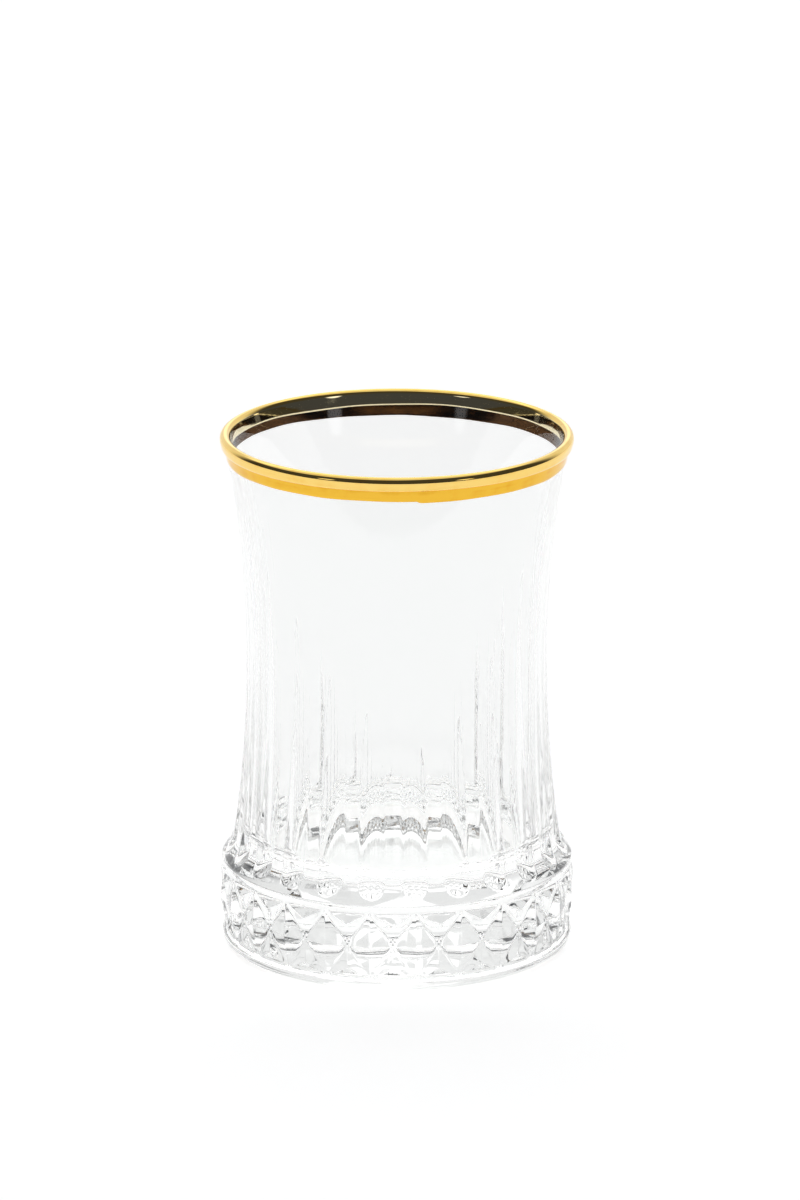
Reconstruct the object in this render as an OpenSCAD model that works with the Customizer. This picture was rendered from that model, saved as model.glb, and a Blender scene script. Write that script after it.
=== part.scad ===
// Waisted tea glass: one piece of pressed clear glass with hollow flutes on the
// wall, a heavy foot of diamond facets, and a rolled lip gilded in two fired lines.
// The origin is on the table, under the middle of the glass. +Z is up, in millimetres.

/* [Lip] */
// Outer diameter over the gilded lip
rim_d = 62; // [58:0.5:66]
// Overall height to the top of the gilded lip
glass_h = 93; // [86:0.5:102]
// Diameter of the rolled glass bead at the lip
lip_bead_d = 1.5; // [1.4:0.05:1.8]
// Wall thickness where the wall runs into the bead
neck_wall = 1; // [0.9:0.05:1.1]
// How far the bead stands in from the inside of the wall
bead_inside = 0.03; // [0.02:0.01:0.06]

/* [Wall] */
// How far the waist draws in from the gilded lip, on each side
waist_in = 4.5; // [3.5:0.25:6]
// Height of the waist above the table
waist_z = 52.5; // [48:0.5:58]
// Wall thickness at the waist
waist_wall = 2.3; // [1.8:0.1:3]
// How far in from the points of the diamonds the wall meets the shoulder of the foot
shoulder_in = 2.5; // [2.2:0.1:2.8]
// Height where the wall meets the shoulder of the foot
shoulder_z = 19; // [18.5:0.1:19.5]
// Wall thickness at the height of the shoulder
shoulder_wall = 4.2; // [3.4:0.1:5]

/* [Inside floor] */
// Height of the inside floor, which is the thickness of the base
floor_z = 18.3; // [15:0.1:20]
// Radius between the inside wall and the inside floor
floor_corner_r = 4; // [3:0.5:6]

/* [Pattern] */
// Number of flutes round the wall, and of diamonds round the foot
pattern_count = 24; // [22:2:26]

/* [Flutes] */
// Radius across a flute
flute_r = 4; // [3.5:0.1:5]
// Depth of a flute at the waist
flute_waist_depth = 0.3; // [0.2:0.05:0.5]
// Depth of a flute at its round lower end
flute_foot_depth = 0.9; // [0.7:0.05:1.2]
// How far under the top of the lip a flute runs out
flute_drop = 13; // [11:0.5:19]
// Height of the centre of a flute's round lower end
flute_end_z = 20.3; // [20:0.1:22]

/* [Foot] */
// Height of the plain ring under the diamonds, which is also the radius of its edge
ring_h = 2.2; // [1.8:0.1:2.6]
// How far the raised points of the diamonds stand out past the gilded lip, on each side
foot_out = 0.5; // [0:0.1:1.5]
// How far the plain ring under the diamonds lies in from their points
ring_in = 0.5; // [0.2:0.05:0.8]
// Height of the upper tips of the diamonds, where the plain belt begins
diamond_top_z = 14.7; // [14:0.1:15.2]
// How far the upper tips of the diamonds lie in from their points
top_tip_in = 0.5; // [0.5:0.05:0.7]
// How far the lower tips of the diamonds lie in from their points
low_tip_in = 1.3; // [1:0.05:1.5]
// How far the low corners between the diamonds lie in from their points
corner_in = 0.7; // [0.5:0.05:1]
// How far the points of the upper triangles lie in from the points of the diamonds
upper_point_in = 0.1; // [0:0.05:0.3]
// How far the points of the lower triangles lie in from the points of the diamonds
lower_point_in = 0.6; // [0.3:0.05:0.8]
// How far the plain belt over the diamonds lies in from their points
belt_in = 0.45; // [0.2:0.05:0.45]
// Height of the top of the plain belt, where the shoulder begins
belt_top_z = 15.9; // [15.5:0.1:16.4]

/* [Base] */
// Width of the flat ring that the glass stands on, round the hollow under the base
stand_w = 4.8; // [3:0.2:8]
// Depth of the hollow under the base
hollow_depth = 1.2; // [0.6:0.1:2]

/* [Gilding] */
// Thickness of the fired gold
gold_t = 0.1; // [0.08:0.01:0.14]
// Gap that keeps the curved faces of gold and glass from overlapping
gold_gap = 0.1; // [0.08:0.01:0.12]
// How far under the top of the lip the gold band ends on the outside
gold_drop = 4.7; // [4:0.1:8]
// How far under the top of the lip the gold line ends on the inside
gold_inside = 2.6; // [2:0.1:3.5]

/* [Hidden] */
$fn = 96;
// The long arcs take more steps, because so little of each circle is used.
arc_fn = 256;

// One overrun serves every cut.
overrun = 1;
pitch = 360 / pattern_count;
glass_color = [0.86, 0.93, 0.92, 0.4];
lip_gold_color = [0.95, 0.76, 0.32];
band_gold_color = [0.91, 0.69, 0.22];

// Lip: the bead stands out from the wall, and only a little in from the inside of it.
lip_r = lip_bead_d / 2;
lip_gold_r = lip_r + gold_gap + gold_t;
lip_z = glass_h - lip_gold_r;
lip_ring_r = rim_d / 2 - lip_gold_r;
neck_r = lip_ring_r - lip_r + bead_inside;
top_z = glass_h + overrun;
gold_band_z = glass_h - gold_drop;
gold_inside_z = glass_h - gold_inside;

// Wall: on each face one arc climbs from the waist to the lip and one falls to the foot,
// and all four are upright at the waist.
waist_r = rim_d / 2 - waist_in;
bore_r = waist_r - waist_wall;
foot_r = rim_d / 2 + foot_out;
belt_r = foot_r - belt_in;
shoulder_r = foot_r - shoulder_in;
shoulder_slope = (belt_r - shoulder_r) / (shoulder_z - belt_top_z);
rise = lip_z - waist_z;
fall = waist_z - shoulder_z;
wall_up_r = arc_radius(neck_r + neck_wall - waist_r, rise);
wall_down_r = arc_radius(shoulder_r - waist_r, fall);
bore_up_r = arc_radius(neck_r - bore_r, rise);
bore_down_r = arc_radius(shoulder_r - shoulder_wall - bore_r, fall);

// Inside corner: a circle that touches the floor and the lower arc of the bore.
corner_z = floor_z + floor_corner_r;
corner_lean = asin((waist_z - corner_z) / (bore_down_r + floor_corner_r));
corner_ring_r = bore_r + bore_down_r - (bore_down_r + floor_corner_r) * cos(corner_lean);

// Foot: each diamond is a low pyramid, and triangles fill the gaps over and under it.
ring_r = foot_r - ring_in;
core_r = ring_r - ring_h;
// The band of diamonds reaches inside the core by as much as the core stands in from the ring.
band_bore_r = core_r - ring_h;
diamond_low_z = ring_h;
diamond_mid_z = (diamond_low_z + diamond_top_z) / 2;
upper_point_share = 0.34;
lower_point_share = 0.34;
upper_point_z = diamond_top_z - upper_point_share * (diamond_top_z - diamond_mid_z);
lower_point_z = diamond_low_z + lower_point_share * (diamond_mid_z - diamond_low_z);
// Tips and points sit half a step round from the corners.
half_step = 0.5;

// Flute: the arc of its floor runs through three points on or under the wall.
flute_top_z = glass_h - flute_drop;
flute_top = [wall_radius(flute_top_z), flute_top_z];
flute_mid = [waist_r - flute_waist_depth, waist_z];
flute_low = [wall_radius(flute_end_z) - flute_foot_depth, flute_end_z];
flute_hub = circle_centre(flute_top, flute_mid, flute_low);
flute_sweep_r = norm(flute_mid - flute_hub) - flute_r;
flute_low_lean = asin((flute_hub.y - flute_end_z) / norm(flute_low - flute_hub));
flute_top_lean = asin((gold_band_z - flute_hub.y) / norm(flute_top - flute_hub));

// Radius of an arc that starts upright and moves out by `out` over a height of `along`.
function arc_radius(out, along) = (out * out + along * along) / (2 * out);

// Outer radius of the wall at height z.
function wall_radius(z) =
    let (r = z > waist_z ? wall_up_r : wall_down_r)
    waist_r + r - sqrt(r * r - pow(z - waist_z, 2));

// Centre of the circle through three points.
function circle_centre(a, b, c) =
    let (
        ab = b - a,
        ac = c - a,
        cross_z = 2 * (ab.x * ac.y - ab.y * ac.x),
        turned_x = (ac.y * (ab * ab) - ab.y * (ac * ac)) / cross_z,
        turned_y = (ab.x * (ac * ac) - ac.x * (ab * ab)) / cross_z
    )
    a + [turned_x, turned_y];

// Half section of everything inside a waisted wall, from z_low to z_high.
module waisted_section(waist, up_r, down_r, z_low, z_high) {
    difference() {
        translate([0, z_low])
            square([rim_d / 2, z_high - z_low]);
        intersection() {
            translate([waist + up_r, waist_z])
                circle(r = up_r, $fn = arc_fn);
            translate([0, waist_z])
                square([rim_d, z_high]);
        }
        intersection() {
            translate([waist + down_r, waist_z])
                circle(r = down_r, $fn = arc_fn);
            translate([0, z_low - overrun])
                square([rim_d, waist_z - z_low + overrun]);
        }
    }
}

// Half section of the plain ring that the glass stands on.
module ring_section() {
    intersection() {
        union() {
            square([core_r, ring_h]);
            translate([core_r, ring_h])
                circle(r = ring_h);
        }
        square([ring_r, ring_h]);
    }
}

// Half section of the plain belt and of the shoulder, which leads from it into the wall.
module belt_section() {
    polygon([
        [0, diamond_top_z],
        [belt_r, diamond_top_z],
        [belt_r, belt_top_z],
        [shoulder_r - overrun * shoulder_slope, shoulder_z + overrun],
        [0, shoulder_z + overrun]
    ]);
}

module lip_section(r) {
    translate([lip_ring_r, lip_z])
        circle(r = r);
}

// Half section of the inside, which runs past the lip and has a round corner at the floor.
module bore_section() {
    difference() {
        room_section(0, floor_z);
        difference() {
            polygon([
                [corner_ring_r, corner_z],
                [corner_ring_r, floor_z - overrun],
                [rim_d / 2, floor_z - overrun],
                [rim_d / 2, corner_z + (rim_d / 2 - corner_ring_r) * tan(corner_lean)]
            ]);
            translate([corner_ring_r, corner_z])
                circle(r = floor_corner_r);
        }
    }
}

// Half section of the waisted outside, from the belt up to the middle of the bead.
// With a gap, it stands that far out from the glass.
module outside_section(gap = 0) {
    waisted_section(waist_r + gap, wall_up_r - gap, wall_down_r - gap, belt_top_z, lip_z);
}

// Half section of the room inside the wall, up past the lip. With a gap, it keeps that far off.
module room_section(gap, z_low) {
    waisted_section(bore_r - gap, bore_up_r + gap, bore_down_r + gap, z_low, top_z);
}

// Half section of the glass without its diamonds, with the inside cut out below the bead.
module glass_section() {
    difference() {
        union() {
            ring_section();
            square([core_r, diamond_top_z]);
            belt_section();
            outside_section();
        }
        bore_section();
    }
    lip_section(lip_r);
}

module round_pattern() {
    for (i = [0 : pattern_count - 1])
        rotate([0, 0, (i + half_step) * pitch])
            children();
}

// One half of the cutter that sweeps along the arc of a flute and ends in a ball.
// The flutes are cut a half at a time, so that each has a true point at its upper end.
module flute_half() {
    translate([flute_hub.x, 0, flute_hub.y])
        rotate([90, 0, 180])
            rotate([0, 0, -flute_low_lean]) {
                rotate_extrude(angle = flute_low_lean + flute_top_lean)
                    translate([flute_sweep_r, 0])
                        intersection() {
                            circle(r = flute_r);
                            translate([-flute_r, 0])
                                square([2 * flute_r, flute_r]);
                        }
                translate([flute_sweep_r, 0, 0])
                    rotate([0, 90, 0])
                        flute_end();
            }
}

// Quarter ball that rounds one half of the lower end of a flute.
module flute_end() {
    rotate([0, 0, 180])
        rotate_extrude(angle = 90)
            intersection() {
                circle(r = flute_r);
                translate([0, -flute_r])
                    square([flute_r, 2 * flute_r]);
            }
}

// The turned glass with its flutes, but without its diamonds.
module fluted_glass() {
    difference() {
        difference() {
            rotate_extrude()
                glass_section();
            round_pattern()
                flute_half();
        }
        round_pattern()
            mirror([0, 1, 0])
                flute_half();
    }
}

// One ring of corners of the diamond foot.
function corners(r, z, turn) = [
    for (i = [0 : pattern_count - 1])
        let (a = (i + turn) * pitch)
        [r * cos(a), r * sin(a), z]
];

// Place of corner i in ring `ring` of the diamond foot.
function corner(ring, i) = ring * pattern_count + (i + pattern_count) % pattern_count;

// Band of low pyramids: diamonds in line with the flutes, and triangles between them.
module diamond_band() {
    top = 0;
    low = 1;
    point = 2;
    side = 3;
    upper = 4;
    lower = 5;
    points = concat(
        corners(foot_r - top_tip_in, diamond_top_z, half_step),
        corners(foot_r - low_tip_in, diamond_low_z, half_step),
        corners(foot_r, diamond_mid_z, half_step),
        corners(foot_r - corner_in, diamond_mid_z, 0),
        corners(foot_r - upper_point_in, upper_point_z, 0),
        corners(foot_r - lower_point_in, lower_point_z, 0)
    );
    faces = [
        for (i = [0 : pattern_count - 1])
            each [
                [corner(top, i), corner(side, i + 1), corner(point, i)],
                [corner(side, i + 1), corner(low, i), corner(point, i)],
                [corner(low, i), corner(side, i), corner(point, i)],
                [corner(side, i), corner(top, i), corner(point, i)],
                [corner(top, i - 1), corner(top, i), corner(upper, i)],
                [corner(top, i), corner(side, i), corner(upper, i)],
                [corner(side, i), corner(top, i - 1), corner(upper, i)],
                [corner(side, i), corner(low, i), corner(lower, i)],
                [corner(low, i), corner(low, i - 1), corner(lower, i)],
                [corner(low, i - 1), corner(side, i), corner(lower, i)]
            ]
    ];
    lid = [for (i = [pattern_count - 1 : -1 : 0]) corner(top, i)];
    floor_face = [for (i = [0 : pattern_count - 1]) corner(low, i)];
    polyhedron(points, concat(faces, [lid, floor_face]));
}

// Shallow round hollow, so that the glass stands on a ring.
module base_hollow() {
    hollow_ball_r = arc_radius(hollow_depth, core_r - stand_w);
    translate([0, 0, hollow_depth - hollow_ball_r])
        sphere(r = hollow_ball_r);
}

module glass_body() {
    color(glass_color)
        difference() {
            union() {
                fluted_glass();
                difference() {
                    diamond_band();
                    cylinder(r = band_bore_r, h = glass_h);
                }
            }
            base_hollow();
        }
}

// Gold line that wraps the bead and runs a little way down the inside of the wall.
module gold_lip_line() {
    color(lip_gold_color)
        rotate_extrude()
            difference() {
                union() {
                    lip_section(lip_gold_r);
                    gold_inside_section();
                }
                lip_section(lip_r + gold_gap);
                difference() {
                    outside_section(gold_gap);
                    room_section(gold_gap, floor_z);
                }
            }
}

// Half section of the part of the gold line that lies on the inside of the wall.
module gold_inside_section() {
    intersection() {
        difference() {
            room_section(gold_gap, floor_z);
            room_section(gold_gap + gold_t, floor_z - overrun);
        }
        translate([0, gold_inside_z])
            square([rim_d / 2, lip_z - gold_inside_z]);
    }
}

// Gold band on the outside of the wall, from under the bead down to its brushed edge.
module gold_band() {
    color(band_gold_color)
        rotate_extrude()
            difference() {
                intersection() {
                    difference() {
                        translate([waist_r + wall_up_r, waist_z])
                            circle(r = wall_up_r - gold_gap, $fn = arc_fn);
                        translate([waist_r + wall_up_r, waist_z])
                            circle(r = wall_up_r - gold_gap - gold_t, $fn = arc_fn);
                    }
                    translate([0, gold_band_z])
                        square([rim_d / 2, lip_z - gold_band_z]);
                }
                lip_section(lip_gold_r + gold_gap);
            }
}

glass_body();
gold_lip_line();
gold_band();
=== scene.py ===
"""Looks of a waisted tea glass of clear pressed glass with a gilded lip.

Lengths are in millimetres and angles in degrees, apart from the finishes, whose lengths are in
metres as a shader's points are. The axis of the glass is +Z, the table is z = 0, and -Y is the
side that the camera sees.
"""

from __future__ import annotations

import logging
import math
from abc import ABC, abstractmethod
from dataclasses import dataclass, field
from enum import Enum
from typing import Any, ClassVar, Mapping, Sequence, Union

import bpy
import numpy as np
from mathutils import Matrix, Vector

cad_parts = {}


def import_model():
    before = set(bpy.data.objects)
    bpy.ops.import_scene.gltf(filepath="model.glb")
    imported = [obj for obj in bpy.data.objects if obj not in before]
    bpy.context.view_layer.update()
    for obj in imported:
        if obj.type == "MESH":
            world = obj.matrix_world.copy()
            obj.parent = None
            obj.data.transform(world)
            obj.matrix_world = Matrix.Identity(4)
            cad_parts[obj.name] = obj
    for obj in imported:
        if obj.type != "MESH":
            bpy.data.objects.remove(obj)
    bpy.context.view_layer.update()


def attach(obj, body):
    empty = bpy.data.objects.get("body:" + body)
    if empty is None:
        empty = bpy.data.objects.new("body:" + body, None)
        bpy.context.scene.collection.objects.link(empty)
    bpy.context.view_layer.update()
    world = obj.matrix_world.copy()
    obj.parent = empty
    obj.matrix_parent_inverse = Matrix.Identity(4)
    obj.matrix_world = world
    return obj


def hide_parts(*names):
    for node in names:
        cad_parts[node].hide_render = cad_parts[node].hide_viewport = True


LOG = logging.getLogger("tea_glass")
METRES_PER_MM = 0.001
SHORTEST = 1e-12

Array = np.ndarray
Number = Union[int, float]
Colour = tuple[float, float, float]
Span = tuple[float, float]

WHITE: Colour = (1.0, 1.0, 1.0)


class Body(Enum):
    """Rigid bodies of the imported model."""

    WHOLE = "root"


class Piece(Enum):
    """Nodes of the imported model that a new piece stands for."""

    GLASS = "glass_body"
    LIP_LINE = "gold_lip_line"
    BAND = "gold_band"


class Slot(Enum):
    """Material slots of the record."""

    GLASS = "clear_glass"
    LIP = "lip_gold"
    BAND = "band_gold"


class Relief(Enum):
    """What shapes one row of the glass."""

    ROUND = 0
    FACETS = 1
    FLUTES = 2
    RIPPLES = 3


class Wire:
    """One output socket, with the arithmetic that shader maths needs."""

    def __init__(self, graph: "Graph", socket: bpy.types.NodeSocket) -> None:
        """Keeps the socket and the graph that it belongs to."""
        self.graph = graph
        self.socket = socket

    def _math(self, operation: str, *values: "Term") -> "Wire":
        """Result of one Math node, by its operation and its inputs in order."""
        inputs = dict(enumerate(values))
        return self.graph.add("ShaderNodeMath", {"operation": operation}, inputs)

    def __add__(self, other: "Term") -> "Wire":
        """This value plus another."""
        return self._math("ADD", self, other)

    def __radd__(self, other: "Term") -> "Wire":
        """Another value plus this one."""
        return self._math("ADD", other, self)

    def __sub__(self, other: "Term") -> "Wire":
        """This value less another."""
        return self._math("SUBTRACT", self, other)

    def __rsub__(self, other: "Term") -> "Wire":
        """Another value less this one."""
        return self._math("SUBTRACT", other, self)

    def __mul__(self, other: "Term") -> "Wire":
        """This value times another."""
        return self._math("MULTIPLY", self, other)

    def __rmul__(self, other: "Term") -> "Wire":
        """Another value times this one."""
        return self._math("MULTIPLY", other, self)

    def __truediv__(self, other: "Term") -> "Wire":
        """This value over another."""
        return self._math("DIVIDE", self, other)

    def __pow__(self, other: "Term") -> "Wire":
        """This value to a power."""
        return self._math("POWER", self, other)

    def ease(self, start: Number, end: Number) -> "Wire":
        """Smooth step.

        Args:
            start: Value where the step is still 0.
            end: Value where the step has become 1.

        Returns:
            A value from 0 to 1.
        """
        settings = {"interpolation_type": "SMOOTHSTEP"}
        inputs = {"Value": self, "From Min": start, "From Max": end}
        return self.graph.add("ShaderNodeMapRange", settings, inputs)


Term = Union[Wire, Number]


class Graph:
    """Nodes of one material or of the world."""

    # Places of the mix node's sockets for colours: its two inputs and its result.
    MIX_FIRST, MIX_SECOND, MIX_RESULT = 6, 7, 2

    def __init__(self, tree: bpy.types.NodeTree) -> None:
        """Empties the tree and keeps it."""
        tree.nodes.clear()
        self.tree = tree

    def add(
        self,
        kind: str,
        settings: Mapping[str, Any] | None = None,
        inputs: Mapping[Union[str, int], Any] | None = None,
        output: Union[str, int] = 0,
    ) -> Wire:
        """Adds a node of any type.

        Args:
            kind: Blender's name of the node type.
            settings: Properties that are set before the sockets.
            inputs: Values or wires by the name or the place of the socket.
            output: Name or place of the socket that is returned.

        Returns:
            One output of the new node.
        """
        node = self.tree.nodes.new(kind)
        for name, value in (settings or {}).items():
            setattr(node, name, value)
        for key, value in (inputs or {}).items():
            if isinstance(value, Wire):
                self.tree.links.new(value.socket, node.inputs[key])
            else:
                node.inputs[key].default_value = value
        sockets = node.outputs
        return Wire(self, sockets[output] if len(sockets) else node.inputs[0])

    def blend(self, share: Term, first: Any, second: Any) -> Wire:
        """Mix of two colours, by the share of the second one."""
        inputs = {0: share, self.MIX_FIRST: first, self.MIX_SECOND: second}
        return self.add("ShaderNodeMix", {"data_type": "RGBA"}, inputs, self.MIX_RESULT)

    def noise(self, place: Wire, scale: float, detail: float = 2.0) -> Wire:
        """Smooth noise from 0 to 1, by its lumps in a unit of length and its finer layers."""
        inputs = {"Vector": place, "Scale": scale, "Detail": detail}
        return self.add("ShaderNodeTexNoise", None, inputs)

    def place(self, stretch: Sequence[float] = (1.0, 1.0, 1.0)) -> Wire:
        """Point on the piece in its own metres, times a factor on each axis."""
        point = self.add("ShaderNodeTexCoord", None, None, "Object")
        return self.add("ShaderNodeMapping", None, {"Vector": point, "Scale": tuple(stretch)})

    def axis(self, point: Wire, name: str) -> Wire:
        """One coordinate of a point, by its letter."""
        return self.add("ShaderNodeSeparateXYZ", None, {0: point}, name)

    def bump(self, height: Wire) -> Wire:
        """Normal of a skin that is raised by a height in metres."""
        return self.add("ShaderNodeBump", None, {"Height": height, "Distance": 1.0})

    def surface(self, inputs: Mapping[Union[str, int], Any]) -> None:
        """Ends the graph of a material in one surface with these inputs."""
        shader = self.add("ShaderNodeBsdfPrincipled", None, inputs)
        self.add("ShaderNodeOutputMaterial", None, {0: shader})


def start_material(name: str) -> tuple[bpy.types.Material, Graph]:
    """Makes a material whose graph is still empty.

    Args:
        name: Name of the material.

    Returns:
        The material and its graph.
    """
    material = bpy.data.materials.new(name)
    material.use_nodes = True
    return material, Graph(material.node_tree)


def rgba(colour: Colour) -> tuple[float, float, float, float]:
    """The colour with full alpha."""
    return (colour[0], colour[1], colour[2], 1.0)


@dataclass(frozen=True)
class GlassFinish:
    """Clear soda-lime glass, fire polished, with faint ripples left by the mould."""

    name: str = "clear_pressed_glass"
    thin_tint: Colour = (0.95, 0.955, 0.952)
    thick_tint: Colour = (0.935, 0.945, 0.938)
    thick_fade: Span = (0.0108, 0.0252)
    refraction: float = 1.52
    ripple_scale: float = 140.0
    ripple_height: float = 0.000003
    cloud_scale: float = 70.0
    cloud_fade: Span = (0.5, 0.8)
    haze: float = 0.012

    def build(self) -> bpy.types.Material:
        """Makes the material.

        Returns:
            Glass whose tint deepens a little in the heavy foot, whose skin ripples over about
            7 mm, and whose haze comes and goes where the mould was less bright.
        """
        material, graph = start_material(self.name)
        point = graph.place()
        foot = 1 - graph.axis(point, "Z").ease(*self.thick_fade)
        ripple = graph.noise(point, self.ripple_scale, detail=1.0)
        cloud = graph.noise(point, self.cloud_scale, detail=3.0)
        graph.surface(
            {
                "Base Color": graph.blend(foot, rgba(self.thin_tint), rgba(self.thick_tint)),
                "Roughness": cloud.ease(*self.cloud_fade) * self.haze,
                "IOR": self.refraction,
                "Transmission Weight": 1.0,
                "Normal": graph.bump(ripple * self.ripple_height),
            }
        )
        return material


@dataclass(frozen=True)
class GoldFinish:
    """Fired bright gold, laid on in strokes that run round the glass."""

    name: str
    full: Colour
    thin: Colour
    # inner: colour painted on the faces that look towards the axis, as painted light; its fade is
    # how squarely a face must look at the axis to take it.
    inner: Colour
    painted_light_fade: Span
    rough: Span
    stroke_height: float = 0.000002
    stroke_stretch: tuple[float, float, float] = (45.0, 45.0, 1500.0)
    mottle_scale: float = 420.0
    mottle_height: float = 0.6
    worn_fade: Span = (0.45, 0.75)

    def build(self) -> bpy.types.Material:
        """Makes the material.

        Returns:
            Metal whose colour and gloss vary in fine strokes round the axis, with a soft
            mottle where the gold lies thinner. Faces that look towards the axis take the inner
            colour, which is painted light: a painted pale highlight on the lip, and on the band
            the dark underside of the gold together with a painted reflection of a dark room.
        """
        material, graph = start_material(self.name)
        stroke = graph.noise(graph.place(self.stroke_stretch), 1.0)
        mottle = graph.noise(graph.place(), self.mottle_scale, detail=3.0)
        worn = (0.5 * stroke + 0.5 * mottle).ease(*self.worn_fade)
        gilt = graph.blend(worn, rgba(self.full), rgba(self.thin))
        smooth, rough = self.rough
        graph.surface(
            {
                # Faces that look towards the axis take the inner colour, which is painted light
                # (on the band also the dark underside of the gold).
                "Base Color": graph.blend(self._painted_light_mask(graph), gilt, rgba(self.inner)),
                "Metallic": 1.0,
                "Roughness": smooth + worn * (rough - smooth),
                "Normal": graph.bump(
                    (stroke + self.mottle_height * mottle) * self.stroke_height
                ),
            }
        )
        return material

    def _painted_light_mask(self, graph: Graph) -> Wire:
        """Finds the faces that look towards the axis of the glass.

        Args:
            graph: Graph of the material.

        Returns:
            0 where a face looks away from the axis and 1 where it looks squarely enough at it.
        """
        point = graph.place()
        normal = graph.add("ShaderNodeNewGeometry", None, None, "True Normal")
        x, y = graph.axis(point, "X"), graph.axis(point, "Y")
        away = x * graph.axis(normal, "X") + y * graph.axis(normal, "Y")
        inwards = (0 - away) / (x * x + y * y) ** 0.5
        return inwards.ease(*self.painted_light_fade)


class GridMesh:
    """Closed surface on a grid of rows and columns, whose columns run once round the axis."""

    def __init__(self, radius: Array, angle: Array, height: Array) -> None:
        """Works out the points from cylinder coordinates.

        Args:
            radius: Radius of each point, in millimetres, rows by columns.
            angle: Angle of each point round the axis, in degrees, rows by columns.
            height: Height of each point, in millimetres, rows by columns.
        """
        turn = np.radians(angle)
        self.points = np.stack(
            [radius * np.cos(turn), radius * np.sin(turn), height], axis=-1
        )

    def _quads(self, wrap_rows: bool) -> Array:
        """Corner numbers of the four-sided faces, each wound outwards.

        Args:
            wrap_rows: Whether the last row is joined to the first.

        Returns:
            Array of faces by four corners.
        """
        rows, columns = self.points.shape[:2]
        number = np.arange(rows * columns).reshape(rows, columns)
        right = np.roll(number, -1, axis=1)
        last = rows if wrap_rows else rows - 1
        above = np.roll(number, -1, axis=0)
        above_right = np.roll(right, -1, axis=0)
        faces = np.stack([number, right, above_right, above], axis=-1)[:last]
        return faces.reshape(-1, 4)

    def tube(self, name: str) -> bpy.types.Object:
        """New object of a ring whose rows close on themselves."""
        return make_object(name, self.points.reshape(-1, 3), self._quads(True))

    def vessel(self, name: str) -> bpy.types.Object:
        """Makes the mesh of a shape whose first and last rows close to a point on the axis.

        Args:
            name: Name of the new object.

        Returns:
            The object, linked to the scene.
        """
        rows, columns = self.points.shape[:2]
        poles = np.array([[0.0, 0.0, self.points[0, 0, 2]], [0.0, 0.0, self.points[-1, 0, 2]]])
        points = np.concatenate([self.points.reshape(-1, 3), poles])
        first = np.arange(columns)
        start = np.stack([np.full(columns, rows * columns), np.roll(first, -1), first], axis=-1)
        last = first + (rows - 1) * columns
        end = np.stack([np.full(columns, rows * columns + 1), last, np.roll(last, -1)], axis=-1)
        return make_object(name, points, self._quads(False), np.concatenate([start, end]))


def face_normals(points: Array, faces: Array) -> Array:
    """Normals of faces, each as long as twice its area.

    Args:
        points: Points of the mesh.
        faces: Corner numbers, three or four to a face.

    Returns:
        One vector for each face: the cross product of its two diagonals or of two sides.
    """
    corner = points[faces]
    if faces.shape[1] == 4:
        return np.cross(corner[:, 2] - corner[:, 0], corner[:, 3] - corner[:, 1])
    return np.cross(corner[:, 1] - corner[:, 0], corner[:, 2] - corner[:, 0])


def make_object(
    name: str, points: Array, quads: Array, triangles: Array | None = None
) -> bpy.types.Object:
    """Makes a smooth mesh whose normals follow its larger faces, so that flats stay flat.

    Args:
        name: Name of the object.
        points: Points in millimetres.
        quads: Corner numbers of the four-sided faces.
        triangles: Corner numbers of the three-sided faces, if there are any.

    Returns:
        The object, linked to the scene.
    """
    groups = [quads] if triangles is None else [quads, triangles]
    mesh = bpy.data.meshes.new(name)
    mesh.vertices.add(len(points))
    metres = (points * METRES_PER_MM).astype(np.float32)
    mesh.vertices.foreach_set("co", metres.ravel())
    corners = np.concatenate([group.ravel() for group in groups])
    sides = np.concatenate([np.full(len(group), group.shape[1]) for group in groups])
    mesh.loops.add(len(corners))
    mesh.loops.foreach_set("vertex_index", corners.astype(np.int32))
    mesh.polygons.add(len(sides))
    starts = np.concatenate([[0], np.cumsum(sides)[:-1]])
    mesh.polygons.foreach_set("loop_start", starts.astype(np.int32))
    mesh.polygons.foreach_set("use_smooth", np.ones(len(sides), dtype=bool))
    mesh.update(calc_edges=True)
    mesh.validate()
    normals = np.zeros_like(points)
    for group in groups:
        vectors = face_normals(points, group)
        for side in range(group.shape[1]):
            np.add.at(normals, group[:, side], vectors)
    normals /= np.maximum(np.linalg.norm(normals, axis=1, keepdims=True), SHORTEST)
    mesh.normals_split_custom_set_from_vertices(normals.tolist())
    obj = bpy.data.objects.new(name, mesh)
    bpy.context.scene.collection.objects.link(obj)
    return obj


def between(start: Number, end: Number, count: int, ends: bool = True) -> Array:
    """Evenly spaced values, of which the end is the last one unless it is left out."""
    return np.linspace(start, end, count, endpoint=ends)


def arc_radius(out: float, along: float) -> float:
    """Radius of an arc that starts upright and moves `out` over a height of `along`."""
    return (out * out + along * along) / (2.0 * out)


def circle_through(a: Array, b: Array, c: Array) -> tuple[Array, float]:
    """Circle through three points.

    Args:
        a: First point.
        b: Second point.
        c: Third point.

    Returns:
        Its centre and its radius, from the meeting of two perpendicular bisectors.
    """
    rows = 2.0 * np.array([b - a, c - a])
    centre = np.linalg.solve(rows, np.array([b @ b - a @ a, c @ c - a @ a]))
    return centre, float(np.linalg.norm(a - centre))


@dataclass(frozen=True)
class Wave:
    """Sine wave round the axis: its size, how often it comes round, its start and its climb."""

    size: float
    times: int
    start: float = 0.0
    climb: float = 0.0


def add_waves(waves: Sequence[Wave], angle: Array, height: Array | float = 0.0) -> Array:
    """Sum of waves at each point.

    Args:
        waves: The waves, whose start is in radians and whose climb is in radians a millimetre.
        angle: Angle of each point, in degrees.
        height: Height of each point.

    Returns:
        The sum of the sines, each times its size.
    """
    turn = np.radians(angle)
    return sum(
        wave.size * np.sin(wave.times * turn + wave.climb * height + wave.start)
        for wave in waves
    )


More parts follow.
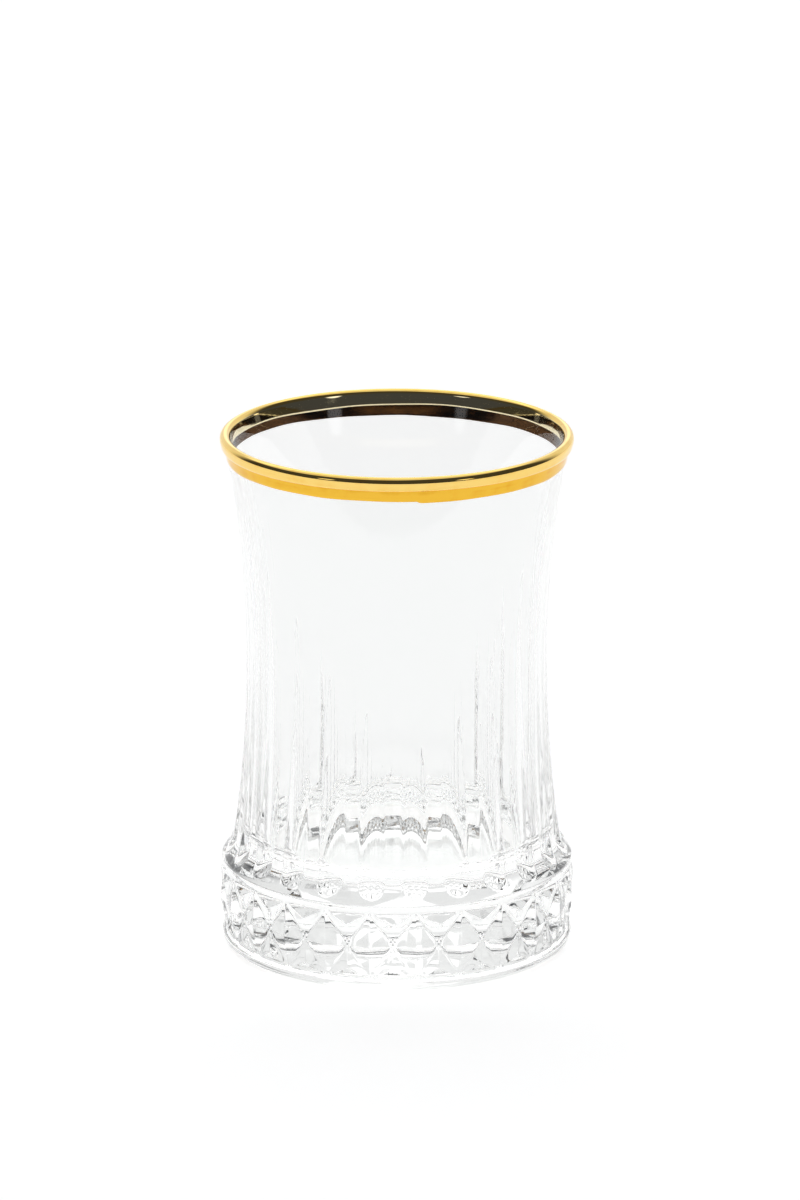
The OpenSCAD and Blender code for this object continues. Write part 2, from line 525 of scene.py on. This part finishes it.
@dataclass
class Profile:
    """Turned profile of the glass: four arcs that are upright at the waist, and a bead."""

    pattern_count: int = 24
    lip_radius: float = 31.0
    top: float = 93.0
    bead: float = 0.75
    bead_inside: float = 0.03
    gilt: float = 0.2
    neck_wall: float = 1.0
    waist_in: float = 4.5
    waist_height: float = 52.5
    waist_wall: float = 2.3
    foot_out: float = 0.5
    shoulder_in: float = 2.5
    shoulder_height: float = 19.0
    shoulder_wall: float = 4.2
    floor_height: float = 18.3
    corner: float = 4.0

    def __post_init__(self) -> None:
        """Works out half a step of the pattern and the arcs from the sizes."""
        self.half_step = 180.0 / self.pattern_count
        self.bead_height = self.top - self.gilt - self.bead
        self.bead_radius = self.lip_radius - self.gilt - self.bead
        self.waist = self.lip_radius - self.waist_in
        self.bore = self.waist - self.waist_wall
        self.foot = self.lip_radius + self.foot_out
        self.shoulder = self.foot - self.shoulder_in
        rise = self.bead_height - self.waist_height
        fall = self.waist_height - self.shoulder_height
        neck = self.bead_radius - self.bead + self.bead_inside
        self.outer_up = arc_radius(neck + self.neck_wall - self.waist, rise)
        self.outer_down = arc_radius(self.shoulder - self.waist, fall)
        self.inner_up = arc_radius(neck - self.bore, rise)
        self.inner_down = arc_radius(self.shoulder - self.shoulder_wall - self.bore, fall)
        self.outer_meet = math.acos((neck + self.neck_wall - self.bead_radius) / self.bead)
        self.inner_meet = math.acos((self.bead_radius - neck) / self.bead)
        self.outer_neck = self.bead_height - self.bead * math.sin(self.outer_meet)
        self.inner_neck = self.bead_height - self.bead * math.sin(self.inner_meet)
        self.corner_height = self.floor_height + self.corner
        reach = self.inner_down + self.corner
        self.corner_lean = math.asin((self.waist_height - self.corner_height) / reach)
        self.corner_radius = self.bore + self.inner_down - reach * math.cos(self.corner_lean)

    def _arc(self, height: Array, waist: float, up: float, down: float) -> Array:
        """Radius on a pair of arcs: the waist plus the sagitta of the arc at that height."""
        swing = np.where(height > self.waist_height, up, down)
        return waist + swing - np.sqrt(swing**2 - (height - self.waist_height) ** 2)

    def outside(self, height: Array) -> Array:
        """Outer radius of the plain wall at each height."""
        return self._arc(np.asarray(height, float), self.waist, self.outer_up, self.outer_down)

    def inside(self, height: Array) -> Array:
        """Inner radius of the wall at each height, above the round corner of the floor."""
        return self._arc(np.asarray(height, float), self.bore, self.inner_up, self.inner_down)


@dataclass
class Flutes:
    """Hollow flutes: a round tube swept along an arc, with a ball at its lower end."""

    profile: Profile
    tube: float = 4.0
    waist_depth: float = 0.3
    foot_depth: float = 0.9
    drop: float = 13.0
    end_height: float = 20.3
    soft_foot: float = 0.25
    soft_waist: float = 0.12
    far: float = 1000.0
    passes: int = 12

    def __post_init__(self) -> None:
        """Works out the arc of the flute's floor and the ball at its end."""
        glass = self.profile
        tip = glass.top - self.drop
        top = np.array([float(glass.outside(tip)), tip])
        middle = np.array([glass.waist - self.waist_depth, glass.waist_height])
        low = np.array([float(glass.outside(self.end_height)) - self.foot_depth, self.end_height])
        self.hub, floor = circle_through(top, middle, low)
        self.sweep = floor - self.tube
        self.low_lean = math.asin((self.hub[1] - self.end_height) / floor)
        self.ball = self.hub - self.sweep * np.array(
            [math.cos(self.low_lean), math.sin(self.low_lean)]
        )

    def skin(self, height: Array, foot: "DiamondFoot") -> Array:
        """Radius of the wall and of the flared shoulder before the flutes are cut."""
        return np.maximum(self.profile.outside(height), foot.flare(height))

    def groove(self, height: Array, aside: Array, wall: Array) -> Array:
        """Radius of the tube's own floor.

        It is found by repeated substitution: the sideways distance gives the tube's depth there,
        the arc gives the radius, and that gives the sideways distance again. Under the end of
        the arc the radius is that of the ball.

        Args:
            height: Height of each point.
            aside: Angle of each point from the middle of its flute, in degrees.
            wall: Radius of the wall before the cut.

        Returns:
            The radius, which is large where the tube doesn't reach.
        """
        turn = np.radians(aside)
        radius = np.broadcast_to(wall, turn.shape).copy()
        for _ in range(self.passes):
            side = radius * np.sin(turn)
            depth = self.sweep + np.sqrt(np.maximum(self.tube**2 - side**2, 0.0))
            reach = self.hub[0] - np.sqrt(depth**2 - (height - self.hub[1]) ** 2)
            radius = reach / np.cos(turn)
        lean = np.arctan2(self.hub[1] - height, self.hub[0] - reach)
        inside = np.abs(wall * np.sin(turn)) < self.tube
        swept = np.where(inside & (lean <= self.low_lean), radius, self.far)
        room = self.tube**2 - (height - self.ball[1]) ** 2 - (self.ball[0] * np.sin(turn)) ** 2
        near = self.ball[0] * np.cos(turn) - np.sqrt(np.maximum(room, 0.0))
        ball = np.where((room > 0.0) & (lean > self.low_lean), near, self.far)
        return np.minimum(swept, ball)

    def cut(self, height: Array, aside: Array, foot: "DiamondFoot") -> Array:
        """Radius of the wall once the flutes are cut and fire polished.

        Args:
            height: Height of each point.
            aside: Angle of each point from the middle of its flute, in degrees.
            foot: The foot, whose shoulder flares out under the wall.

        Returns:
            The smaller of the plain wall's radius and the flute's, less a quarter of the softness
            times the squared share by which the two are closer than that softness.
        """
        wall = self.skin(height, foot)
        floor = self.groove(height, aside, wall)
        rise = self.profile.waist_height - self.end_height
        climb = np.clip((height - self.end_height) / rise, 0.0, 1.0)
        soft = self.soft_foot + climb * (self.soft_waist - self.soft_foot)
        close = np.maximum(soft - np.abs(wall - floor), 0.0) / soft
        return np.minimum(wall, floor) - close**2 * soft / 4.0


@dataclass
class DiamondFoot:
    """Heavy foot: a ring of low pyramids in line with the flutes, and triangles between them."""

    profile: Profile
    ring_height: float = 2.2
    ring_in: float = 0.5
    top_height: float = 14.7
    top_tip_in: float = 0.5
    low_tip_in: float = 1.3
    corner_in: float = 0.7
    upper_point_in: float = 0.1
    lower_point_in: float = 0.6
    upper_share: float = 0.34
    lower_share: float = 0.34
    belt_in: float = 0.45
    belt_top: float = 15.9
    stand_width: float = 4.8
    hollow_depth: float = 1.2

    def __post_init__(self) -> None:
        """Works out the corners of one half step of the pattern."""
        foot = self.profile.foot
        half = math.radians(self.profile.half_step)
        self.middle = (self.ring_height + self.top_height) / 2.0
        tall = self.top_height - self.middle
        self.upper_height = self.top_height - self.upper_share * tall
        self.lower_height = self.ring_height + self.lower_share * tall
        self.ring = foot - self.ring_in
        self.core = self.ring - self.ring_height
        self.belt = foot - self.belt_in
        self.top_tip = self._corner(foot - self.top_tip_in, half, self.top_height)
        self.low_tip = self._corner(foot - self.low_tip_in, half, self.ring_height)
        self.point = self._corner(foot, half, self.middle)
        self.corner = self._corner(foot - self.corner_in, 0.0, self.middle)
        self.upper = self._corner(foot - self.upper_point_in, 0.0, self.upper_height)
        self.lower = self._corner(foot - self.lower_point_in, 0.0, self.lower_height)

    def flare(self, height: Array) -> Array:
        """Radius of the shoulder: a cone from the top of the belt to the foot of the wall."""
        glass = self.profile
        slope = (self.belt - glass.shoulder) / (glass.shoulder_height - self.belt_top)
        return self.belt - slope * (height - self.belt_top)

    @staticmethod
    def _corner(radius: float, turn: float, height: float) -> Array:
        """Point from its radius, its turn in radians and its height."""
        return np.array([radius * math.cos(turn), radius * math.sin(turn), height])

    @staticmethod
    def _plane(a: Array, b: Array, c: Array, height: Array, angle: Array) -> Array:
        """Radius at which a ray from the axis meets the plane through three points.

        Args:
            a: First point.
            b: Second point.
            c: Third point.
            height: Height of each ray.
            angle: Angle of each ray, in degrees.

        Returns:
            The plane's offset less its rise, over its slope along the ray.
        """
        normal = np.cross(b - a, c - a)
        turn = np.radians(angle)
        slope = normal[0] * np.cos(turn) + normal[1] * np.sin(turn)
        return (normal @ a - normal[2] * height) / slope

    @staticmethod
    def _crease(start: Array, end: Array, height: Array) -> Array:
        """Angle in degrees at which the edge between two corners passes each height."""
        share = np.clip((height - start[2]) / (end[2] - start[2]), 0.0, 1.0)
        x = start[0] + share * (end[0] - start[0])
        y = start[1] + share * (end[1] - start[1])
        return np.degrees(np.arctan2(y, x))

    def creases(self, height: Array) -> tuple[Array, Array]:
        """Angles of the two edges that a level line crosses in half a step.

        Args:
            height: Heights of the rows.

        Returns:
            The edge of the triangle and the edge of the diamond at each height.
        """
        upper = [self._crease(end, self.top_tip, height) for end in (self.upper, self.corner)]
        lower = [self._crease(end, self.low_tip, height) for end in (self.lower, self.corner)]
        triangle, diamond = np.where(height > self.middle, upper, lower)
        return triangle, diamond

    def _facets(self, tip: Array, peak: Array, height: Array, angle: Array) -> list[Array]:
        """Radius on each of the three planes that meet at a tip of a diamond.

        Args:
            tip: Upper or lower tip of the diamond.
            peak: Peak of the triangle beside that tip.
            height: Height of each point.
            angle: Angle of each point, in degrees.

        Returns:
            The outer face of the triangle, its flank and the face of the diamond.
        """
        twin = tip * np.array([1.0, -1.0, 1.0])
        planes = ((tip, twin, peak), (tip, self.corner, peak), (tip, self.corner, self.point))
        return [self._plane(*plane, height, angle) for plane in planes]

    def radius(self, height: Array, angle: Array) -> Array:
        """Radius of the facets.

        Args:
            height: Height of each point.
            angle: Angle of each point from the line between two diamonds, in degrees.

        Returns:
            The radius on whichever facet the point lies: the outer triangle, the flank of the
            triangle or the diamond.
        """
        triangle, diamond = self.creases(height)
        upper = self._facets(self.top_tip, self.upper, height, angle)
        lower = self._facets(self.low_tip, self.lower, height, angle)
        outer, flank, face = np.where(height > self.middle, upper, lower)
        return np.where(angle < triangle, outer, np.where(angle < diamond, flank, face))


@dataclass
class Rows:
    """Rows of the glass from the middle of its base, up the outside and down the inside."""

    radius: list[Array] = field(default_factory=list)
    height: list[Array] = field(default_factory=list)
    relief: list[Array] = field(default_factory=list)

    def add(self, radius: Any, height: Any, relief: Relief = Relief.ROUND) -> None:
        """Adds rows.

        Args:
            radius: Radius of each row, which a relief may override.
            height: Height of each row.
            relief: What shapes the rows.
        """
        height = np.atleast_1d(np.asarray(height, float))
        radius = np.broadcast_to(np.asarray(radius, float), height.shape)
        self.radius.append(radius)
        self.height.append(height)
        self.relief.append(np.full(height.shape, relief.value))

    def arrays(self) -> tuple[Array, Array, Array]:
        """Radius, height and relief of all rows."""
        radius, height = np.concatenate(self.radius), np.concatenate(self.height)
        return radius, height, np.concatenate(self.relief)


class Component(ABC):
    """One piece of the object, with the node that it stands for and the slot of its finish."""

    piece: ClassVar[Piece]
    slot: ClassVar[Slot]

    @abstractmethod
    def build(self) -> bpy.types.Object:
        """Makes the mesh of the piece."""

    def dress(self, obj: bpy.types.Object, finish: Union[GlassFinish, GoldFinish]) -> None:
        """Gives the piece its finish and puts it in the frame.

        Args:
            obj: The finished mesh.
            finish: What the piece is made of.
        """
        obj.data.materials.append(finish.build())
        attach(obj, Body.WHOLE.value)
        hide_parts(self.piece.value)
        LOG.info("%s: %d faces", obj.name, len(obj.data.polygons))


@dataclass
class Tumbler(Component):
    """The glass itself: one casting with flutes on its wall and diamonds on its foot.

    Its rows run from the middle of the base up the outside and down the inside. Its columns run
    from the land between two flutes to the middle of one, and are mirrored and repeated.
    """

    piece = Piece.GLASS
    slot = Slot.GLASS
    profile: Profile
    flutes: Flutes
    foot: DiamondFoot
    edge: float = 0.1
    edge_turn: float = 0.25
    # How far the two edges stay from each other and from the ends of a half step, in edge turns.
    first_room: Span = (2.2, 5.0)
    second_room: float = 2.4
    # Where the columns of those edges lie on plain rows, as shares of a half step.
    plain_edges: Span = (0.25, 0.47)
    columns: tuple[int, int, int] = (1, 2, 4)
    hollow_shares: tuple[float, ...] = (0.2, 0.45, 0.7, 0.88, 0.985)
    ring_turns: Span = (-90.0, -4.0)
    ring_rows: int = 8
    facet_rows: tuple[int, int, int, int] = (3, 5, 5, 4)
    scoop: float = 7.0
    scoop_power: float = 1.6
    tips_from: float = 66.0
    tips_past: float = 0.5
    wall_rows: tuple[int, int, int, int] = (19, 22, 12, 6)
    bead_rows: int = 18
    bore_rows: int = 16
    corner_rows: int = 9
    floor_shares: Span = (0.66, 0.33)
    ripple: float = 0.008
    waves: tuple[Wave, ...] = (
        Wave(size=1.0, times=3, climb=1 / 9),
        Wave(size=0.7, times=7, start=1.3, climb=-1 / 6),
        Wave(size=0.4, times=13, start=2.1, climb=1 / 4),
    )
    name: str = "fluted_glass"

    def _base_rows(self, rows: Rows) -> None:
        """Adds the hollow under the base, the ring it stands on and the round edge."""
        foot = self.foot
        hollow = foot.core - foot.stand_width
        ball = arc_radius(foot.hollow_depth, hollow)
        reach = np.array(self.hollow_shares) * hollow
        rows.add(reach, foot.hollow_depth - ball + np.sqrt(ball**2 - reach**2))
        rows.add(np.array([hollow + 2 * self.edge, (hollow + foot.core) / 2]), np.zeros(2))
        turn = np.radians(between(*self.ring_turns, self.ring_rows))
        rows.add(
            foot.core + foot.ring_height * np.cos(turn),
            foot.ring_height + foot.ring_height * np.sin(turn),
        )
        rows.add(foot.ring - self.edge, foot.ring_height)

    def _facet_rows(self, rows: Rows) -> None:
        """Adds the diamonds and the belt over them, with a row on each side of an edge."""
        foot = self.foot
        step = self.edge
        bands = (
            (foot.ring_height + step, foot.lower_height - step),
            (foot.lower_height, foot.middle - step),
            (foot.middle + step, foot.upper_height),
            (foot.upper_height + step, foot.top_height - step),
        )
        levels = [between(*band, count) for band, count in zip(bands, self.facet_rows)]
        rows.add(0.0, np.concatenate(levels), Relief.FACETS)
        rows.add(foot.belt - step, foot.top_height)
        rows.add(foot.belt, np.array([foot.top_height + step, foot.belt_top - step]))

    def _wall_rows(self, rows: Rows) -> None:
        """Adds the fluted wall up to the bead, close together where the flutes begin and end."""
        glass = self.profile
        scoop_rows, middle_rows, tip_rows, neck_rows = self.wall_rows
        shares = between(0.0, 1.0, scoop_rows) ** self.scoop_power
        scoop = self.foot.belt_top + self.edge + self.scoop * shares
        middle = between(scoop[-1], self.tips_from, middle_rows)[1:]
        tips_end = glass.top - self.flutes.drop + self.tips_past
        tips = between(self.tips_from, tips_end, tip_rows)[1:]
        rows.add(0.0, np.concatenate([scoop, middle, tips]), Relief.FLUTES)
        neck = between(tips_end, glass.outer_neck, neck_rows)[1:]
        rows.add(glass.outside(neck), neck)

    def _inside_rows(self, rows: Rows) -> None:
        """Adds the bead, the rippled inner wall, the round corner and the floor."""
        glass = self.profile
        turn = between(-glass.outer_meet, math.pi + glass.inner_meet, self.bead_rows)[1:-1]
        rows.add(
            glass.bead_radius + glass.bead * np.cos(turn),
            glass.bead_height + glass.bead * np.sin(turn),
        )
        lean = glass.corner_lean
        tangent = glass.corner_height + glass.corner * math.sin(lean)
        wall = between(glass.inner_neck, tangent, self.bore_rows)
        bend = between(lean, -math.pi / 2, self.corner_rows)[1:]
        round_radius = glass.corner_radius + glass.corner * np.cos(bend)
        radius = np.concatenate([glass.inside(wall), round_radius])
        height = np.concatenate([wall, glass.corner_height + glass.corner * np.sin(bend)])
        rows.add(radius[0], height[0])
        rows.add(radius[1:-1], height[1:-1], Relief.RIPPLES)
        rows.add(radius[-1], height[-1])
        rows.add(np.array(self.floor_shares) * glass.corner_radius, np.full(2, glass.floor_height))

    def _half_step(self, triangle: Array, diamond: Array) -> Array:
        """Angles of the columns in half a step, close on both sides of each edge.

        Args:
            triangle: Angle of the first edge in each row.
            diamond: Angle of the second edge in each row.

        Returns:
            Angles, rows by columns, from the land to the middle of the flute.
        """
        half = self.profile.half_step
        soft = self.edge_turn
        low, high = (room * soft for room in self.first_room)
        room = self.second_room * soft
        first = np.clip(triangle, low, half - high)
        second = np.clip(diamond, first + room, half - room)
        start = np.zeros_like(first)
        stops = [start, first, second, start + half]
        columns = [start]
        for left, right, count in zip(stops, stops[1:], self.columns):
            shares = between(0.0, 1.0, count + 2)[:, None]
            columns.extend(left + soft + shares * (right - left - 2 * soft))
        columns.append(stops[-1])
        return np.stack(columns, axis=1)

    def build(self) -> bpy.types.Object:
        """Makes the mesh of the glass.

        Each row is a level line. Its radius comes from the turned profile, from the facets of
        the foot or from the fluted wall, and the columns follow the edges of the pattern. The
        plunger that pressed the glass leaves slow waves on the inner wall.

        Returns:
            The object.
        """
        rows = Rows()
        for add_rows in (self._base_rows, self._facet_rows, self._wall_rows, self._inside_rows):
            add_rows(rows)
        radius, height, relief = rows.arrays()
        half = self.profile.half_step
        facets, fluted, rippled = (
            relief == kind.value for kind in (Relief.FACETS, Relief.FLUTES, Relief.RIPPLES)
        )
        edges = [
            np.where(facets, crease, half * share)
            for crease, share in zip(self.foot.creases(height), self.plain_edges)
        ]
        angle = self._half_step(*edges)
        level = np.broadcast_to(height[:, None], angle.shape)
        shaped = np.broadcast_to(radius[:, None], angle.shape)
        shaped = np.where(facets[:, None], self.foot.radius(level, angle), shaped)
        wall_level = np.clip(level, self.foot.belt_top, self.profile.bead_height)
        cut = self.flutes.cut(wall_level, half - angle, self.foot)
        shaped = np.where(fluted[:, None], cut, shaped)
        mirrored = slice(-2, 0, -1)
        step_angle = np.concatenate([angle, 2 * half - angle[:, mirrored]], axis=1)
        step_radius = np.concatenate([shaped, shaped[:, mirrored]], axis=1)
        count = self.profile.pattern_count
        turns = np.repeat(np.arange(count) * 2 * half, step_angle.shape[1])
        full_angle = np.tile(step_angle, count) + turns
        full_height = np.broadcast_to(height[:, None], full_angle.shape)
        ripples = self.ripple * add_waves(self.waves, full_angle, full_height)
        full_radius = np.tile(step_radius, count) + np.where(rippled[:, None], ripples, 0.0)
        return GridMesh(full_radius, full_angle, full_height).vessel(self.name)


@dataclass
class LipGilding(Component):
    """Gold line over the bead, from the inside of the mouth to the outside."""

    piece = Piece.LIP_LINE
    slot = Slot.LIP
    profile: Profile
    sunk: float = 0.02
    inside_height: float = 90.4
    inside_share: float = 0.6
    wobble: float = 0.12
    waves: tuple[Wave, ...] = (
        Wave(size=1.0, times=2, start=0.4),
        Wave(size=0.6, times=5, start=1.0),
        Wave(size=0.4, times=11),
    )
    fold: float = 0.72
    fold_in: float = 0.12
    fold_end: float = -70.0
    fold_rows: int = 12
    bead_rows: int = 30
    inside_rows: int = 9
    columns: int = 360
    name: str = "gilded_lip"

    def build(self) -> bpy.types.Object:
        """Makes the mesh of the gold line.

        The section goes round the bead and down the inner wall, out at the gold's face and back
        under the skin of the glass. Its inner end wanders as a brushed line does.

        Returns:
            The object.
        """
        glass = self.profile
        angle = between(0.0, 360.0, self.columns, False)
        face = self._line(angle, glass.bead + glass.gilt, self.inside_share * glass.gilt)
        back = self._line(angle, glass.bead - self.sunk, -self.sunk)
        radius = np.concatenate([face[0], back[0][::-1]])
        height = np.concatenate([face[1], back[1][::-1]])
        return GridMesh(radius, np.broadcast_to(angle, radius.shape), height).tube(self.name)

    def _line(self, angle: Array, reach: float, off_wall: float) -> tuple[Array, Array]:
        """One face of the gold.

        The rolled edge hangs a little way down the outside, so the face goes round the lower
        fold, up to the bead, round that, and along a line that closes in on the inner wall.

        Args:
            angle: Angle of each column, in degrees.
            reach: Radius of the face round the middle of the bead.
            off_wall: How far the inner end of the face stands off the inner wall.

        Returns:
            Radius and height of the face, from the outer crease over the bead to the inner end.
        """
        glass = self.profile
        end = self.inside_height + self.wobble * add_waves(self.waves, angle)
        lean = math.asin((glass.bead_height - glass.waist_height) / glass.inner_up)
        upright = math.atan2(self.fold_in, self.fold)
        low_arc = between(math.radians(self.fold_end), -upright, self.fold_rows)
        top_arc = between(-upright, math.pi - lean, self.bead_rows)
        every = np.ones_like(angle)
        arc = np.concatenate([low_arc, top_arc])[:, None] * every
        low = np.repeat([1.0, 0.0], [self.fold_rows, self.bead_rows])[:, None]
        top_radius = glass.bead_radius - self.fold_in * low + reach * np.cos(arc)
        top_height = glass.bead_height - self.fold * low + reach * np.sin(arc)
        share = between(0.0, 1.0, self.inside_rows)[1:, None] * every
        wall_height = top_height[-1] + share * (end - top_height[-1])
        start_off = glass.inside(top_height[-1]) - top_radius[-1]
        wall_radius = glass.inside(wall_height) - start_off - share * (off_wall - start_off)
        return (
            np.concatenate([top_radius, wall_radius]),
            np.concatenate([top_height, wall_height]),
        )


@dataclass
class BandGilding(Component):
    """Gold band on the outside of the wall under the bead, with a brushed lower edge."""

    piece = Piece.BAND
    slot = Slot.BAND
    profile: Profile
    sunk: float = 0.02
    proud: float = 0.15
    edge_round: float = 0.12
    low_edge: float = 88.35
    wobble: float = 0.25
    waves: tuple[Wave, ...] = (
        Wave(size=0.7, times=1, start=-2.2),
        Wave(size=0.35, times=3, start=0.5),
        Wave(size=0.16, times=8, start=1.7),
        Wave(size=0.1, times=17, start=0.3),
    )
    overlap_turn: float = 278.0
    overlap_step: float = 0.35
    overlap_start: float = 0.8
    overlap_tail: float = 9.0
    rows: int = 14
    columns: int = 720
    name: str = "gilded_band"

    def _edge(self, angle: Array) -> Array:
        """Height of the lower edge.

        Args:
            angle: Angle of each column, in degrees.

        Returns:
            A level with slow waves, and a small step where the stroke ends over its beginning.
        """
        past = np.mod(angle - self.overlap_turn, 360.0)
        step = np.exp(-past / self.overlap_tail) * (1.0 - np.exp(-past / self.overlap_start))
        waves = self.wobble * add_waves(self.waves, angle)
        return self.low_edge + waves - self.overlap_step * step

    def build(self) -> bpy.types.Object:
        """Makes the mesh of the gold band.

        The section runs from the lower edge up the outside of the wall, over into the gold of
        the bead, and back down under the skin of the glass.

        Returns:
            The object.
        """
        glass = self.profile
        angle = between(0.0, 360.0, self.columns, False)
        low = self._edge(angle)
        climb = between(0.0, 1.0, self.rows)[:, None] * (glass.outer_neck - low)
        level = low + climb
        rise = self.proud * (1.0 - np.exp(-climb / self.edge_round))
        wall = glass.outside(level)
        radius = np.concatenate([wall + rise, (wall - self.sunk)[::-1]])
        height = np.concatenate([level, level[::-1]])
        return GridMesh(radius, np.broadcast_to(angle, radius.shape), height).tube(self.name)


def aim_from(turn: float, rise: float) -> Vector:
    """Direction seen from the glass, by its turn from the front and its rise."""
    side, up = math.radians(turn), math.radians(rise)
    return Vector((math.sin(side) * math.cos(up), -math.cos(side) * math.cos(up), math.sin(up)))


@dataclass(frozen=True)
class Lamp:
    """Round soft lamp far away: its place, the angles at which it fades in, and its level."""

    turn: float
    rise: float
    spread: tuple[float, float]
    level: float


@dataclass
class Studio:
    """White ground, a lit wall behind the glass, lamps above and before it, and the camera."""

    ground: float = 6000.0
    ground_front: float = 450.0
    contact: float = 0.02
    ground_colour: Colour = (0.92, 0.92, 0.92)
    ground_rough: float = 0.9
    ground_glow: float = 0.59
    grain_scale: float = 900.0
    grain_fade: Span = (0.4, 0.7)
    grain_dim: float = 0.985
    dim: float = 0.06
    dim_colour: Colour = (0.92, 0.96, 1.06)
    dim_fade: Span = (0.0, 0.6)
    seen: float = 1.05
    wall_edge: Span = (0.35, 0.75)
    wall_fade: Span = (0.1, 0.5)
    wall_low: float = 0.86
    wall_high: float = 0.82
    lamps: tuple[Lamp, ...] = (
        Lamp(turn=200.0, rise=72.0, spread=(42.0, 30.0), level=0.8),
        Lamp(turn=180.0, rise=17.0, spread=(11.0, 7.0), level=0.5),
        Lamp(turn=-45.0, rise=13.5, spread=(7.0, 4.0), level=1.3),
        Lamp(turn=46.0, rise=12.5, spread=(7.0, 4.0), level=1.5),
    )
    azimuth: float = 1.3
    target: float = 46.0
    distance: float = 1300.0
    elevation: float = 17.0
    focal_pixels: float = 7366.88
    frame_pixels: tuple[int, int] = (800, 1200)
    target_pixel: Span = (396.7, 689.4)
    sensor: float = 36.0
    bounces: int = 96

    def floor(self) -> bpy.types.Object:
        """Makes the ground.

        Returns:
            A wide level sheet, four points on a grid.
        """
        side = np.array([-self.ground, self.ground])
        x, y = np.meshgrid(side, np.array([-self.ground_front, self.ground]))
        points = np.stack([x.ravel(), y.ravel(), np.full(4, self.contact)], axis=-1)
        obj = make_object("ground", points, np.array([[0, 1, 3, 2]]))
        material, graph = start_material("white_ground")
        grain = graph.noise(graph.place(), self.grain_scale, detail=3.0)
        pale = self.ground_colour
        speck = tuple(value * self.grain_dim for value in pale)
        graph.surface(
            {
                "Base Color": graph.blend(grain.ease(*self.grain_fade), rgba(pale), rgba(speck)),
                "Roughness": self.ground_rough,
                "Specular IOR Level": 0.0,
                "Emission Color": rgba(WHITE),
                "Emission Strength": self.ground_glow,
            }
        )
        obj.data.materials.append(material)
        return obj

    def light(self) -> None:
        """Lights the scene with a white wall behind, a soft roof above and small panels.

        All else is dim, so that the bright gold has dark lines in it. Seen past the edge of the
        ground, the backdrop is as white as the ground.
        """
        world = bpy.data.worlds.new("studio")
        bpy.context.scene.world = world
        world.use_nodes = True
        graph = Graph(world.node_tree)
        ray = graph.add("ShaderNodeTexCoord", None, None, "Generated")
        behind = graph.axis(ray, "Y").ease(*self.wall_edge)
        fade = graph.axis(ray, "Z").ease(*self.wall_fade)
        level = self.dim + behind * (self.wall_low + fade * (self.wall_high - self.wall_low))
        for lamp in self.lamps:
            aim = aim_from(lamp.turn, lamp.rise)
            near = (
                graph.axis(ray, "X") * aim[0]
                + graph.axis(ray, "Y") * aim[1]
                + graph.axis(ray, "Z") * aim[2]
            )
            edge = [math.cos(math.radians(angle)) for angle in lamp.spread]
            level = level + near.ease(*edge) * lamp.level
        direct = graph.add("ShaderNodeLightPath", None, None, "Is Camera Ray")
        level = level + direct * (self.seen - level)
        tint = graph.blend(level.ease(*self.dim_fade), rgba(self.dim_colour), rgba(WHITE))
        sky = graph.add("ShaderNodeBackground", None, {"Color": tint, "Strength": level})
        graph.add("ShaderNodeOutputWorld", None, {0: sky})

    def camera(self) -> bpy.types.Object:
        """Makes the camera at the viewpoint of the picture.

        The lens looks a little above the middle of the glass, by the angle that puts the middle
        as far under the centre of the frame as it is seen.

        Returns:
            The camera.
        """
        wide, tall = self.frame_pixels
        data = bpy.data.cameras.new("viewpoint")
        data.sensor_width = self.sensor
        data.lens = self.focal_pixels / max(wide, tall) * self.sensor
        obj = bpy.data.objects.new("viewpoint", data)
        bpy.context.scene.collection.objects.link(obj)
        aim = Vector((0.0, 0.0, self.target)) * METRES_PER_MM
        lean = math.radians(self.elevation)
        side = math.radians(self.azimuth)
        back = aim_from(self.azimuth, self.elevation)
        obj.location = aim + back * self.distance * METRES_PER_MM
        up_turn = math.atan((self.target_pixel[1] - tall / 2) / self.focal_pixels)
        right_turn = math.atan((wide / 2 - self.target_pixel[0]) / self.focal_pixels)
        obj.rotation_euler = (math.pi / 2 - lean + up_turn, 0.0, side - right_turn)
        bpy.context.scene.camera = obj
        return obj

    def exposure(self) -> None:
        """Sets how light is carried through the glass and shown."""
        scene = bpy.context.scene
        scene.view_settings.view_transform = "Standard"
        scene.cycles.max_bounces = self.bounces
        scene.cycles.transmission_bounces = self.bounces
        scene.cycles.glossy_bounces = self.bounces
        scene.cycles.blur_glossy = 0.0


LIP_GOLD = GoldFinish(
    name="bright_lip_gold",
    full=(0.95, 0.66, 0.19),
    thin=(0.88, 0.56, 0.12),
    # inner: painted pale highlight on the faces that look towards the axis, on the gold of the
    # inner wall and the inner side of the bead.
    inner=(0.88, 0.77, 0.5),
    painted_light_fade=(0.88, 0.97),
    rough=(0.04, 0.1),
)
BAND_GOLD = GoldFinish(
    name="brushed_band_gold",
    full=(0.86, 0.5, 0.05),
    thin=(0.74, 0.4, 0.03),
    # inner: dark brown on the faces that look towards the axis; it is the dark underside of the
    # gold and a painted reflection of a dark room.
    inner=(0.09, 0.045, 0.02),
    painted_light_fade=(0.0, 0.13),
    rough=(0.06, 0.13),
)


def main() -> None:
    """Builds the glass, its gilding and the studio."""
    logging.basicConfig(level=logging.INFO, format="%(name)s: %(message)s")
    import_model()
    profile = Profile()
    tumbler = Tumbler(profile, Flutes(profile), DiamondFoot(profile))
    tumbler.dress(tumbler.build(), GlassFinish())
    lip = LipGilding(profile)
    lip.dress(lip.build(), LIP_GOLD)
    band = BandGilding(profile)
    band.dress(band.build(), BAND_GOLD)
    studio = Studio()
    studio.floor()
    studio.light()
    studio.camera()
    studio.exposure()


if __name__ == "__main__":
    main()
